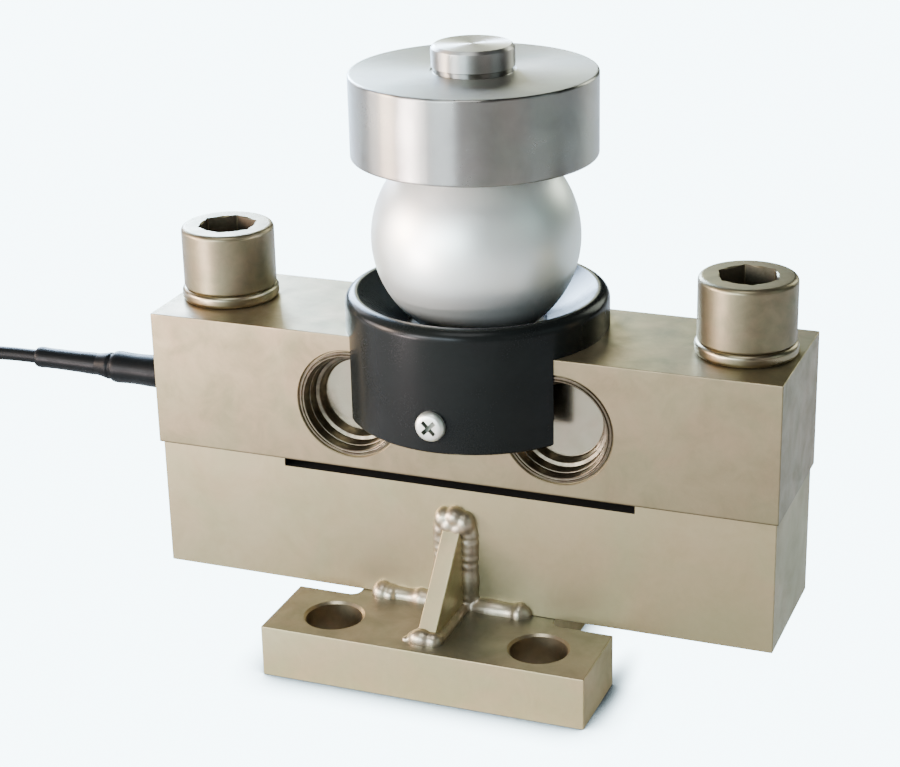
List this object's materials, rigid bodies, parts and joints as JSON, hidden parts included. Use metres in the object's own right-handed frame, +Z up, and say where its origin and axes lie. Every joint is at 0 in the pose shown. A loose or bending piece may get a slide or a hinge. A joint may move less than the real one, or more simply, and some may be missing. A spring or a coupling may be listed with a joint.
{
  "type": "strain gauge load cell",
  "caption": "Double-ended shear-beam strain gauge load cell clamped on a welded base, with a bearing ball, a turned load cap, a black ball retainer and a black signal cable.",
  "frame": {"origin": "centre of the mounting plate's underside, on the ball's axis", "axes": "+X along the beam, away from its cable end; +Z up along the ball's axis to the spigot; -Y is the front"},
  "size_m": [0.4109, 0.1186, 0.1933],
  "materials": {
    "plate_metal": "satin nickel plate, softly mottled",
    "block_metal": "satin nickel plate",
    "beam_metal": "satin nickel plate",
    "screw_metal": "bright nickel plate",
    "washer_metal": "bright plated spring steel",
    "ball_metal": "satin hardened steel",
    "cap_metal": "turned stainless, fine lines round the axis",
    "retainer_black": "satin-gloss black on turned aluminium",
    "pan_screw_zinc": "bright zinc plate",
    "cup_metal": "bright pressed stainless sheet",
    "gauge_foil": "amber film with a grey foil grid",
    "board_green": "green solder board",
    "wire_insulation": "bundle of fine insulated wires",
    "weld_metal": "rippled weld metal",
    "ferrule_metal": "plain turned steel",
    "sleeve_black": "semi-gloss shrunk sleeve",
    "cable_black": "semi-gloss cable jacket",
    "tie_black": "black nylon",
    "core_colours": "red, black, green and white cores with bare tinned ends"
  },
  "bodies": {
    "root": {"mounting_plate": "plate_metal", "base_block": "block_metal", "load_cell_beam": "beam_metal", "clamp_screws": "screw_metal", "lock_washers": "washer_metal", "bearing_ball": "ball_metal", "load_cap": "cap_metal", "ball_retainer": "retainer_black", "retainer_screws": "pan_screw_zinc", "sealing_cup_front_left": "cup_metal", "sealing_cup_front_right": "cup_metal", "sealing_cup_rear_left": "cup_metal", "sealing_cup_rear_right": "cup_metal", "strain_gauge_front_left": "gauge_foil", "strain_gauge_front_right": "gauge_foil", "strain_gauge_rear_left": "gauge_foil", "strain_gauge_rear_right": "gauge_foil", "terminal_board": "board_green", "inner_wires": "wire_insulation", "front_gusset": "plate_metal", "rear_gusset": "plate_metal", "front_weld_beads": "weld_metal", "rear_weld_beads": "weld_metal", "cable_ferrule": "ferrule_metal", "entry_sleeve": "sleeve_black", "cable_sleeve": "sleeve_black", "cable_entry": "cable_black", "cable_lead": "cable_black", "cable_tail": "cable_black", "cable_coil": "cable_black", "coil_ties": "tie_black", "cable_cores": "core_colours"}
  },
  "joints": []
}
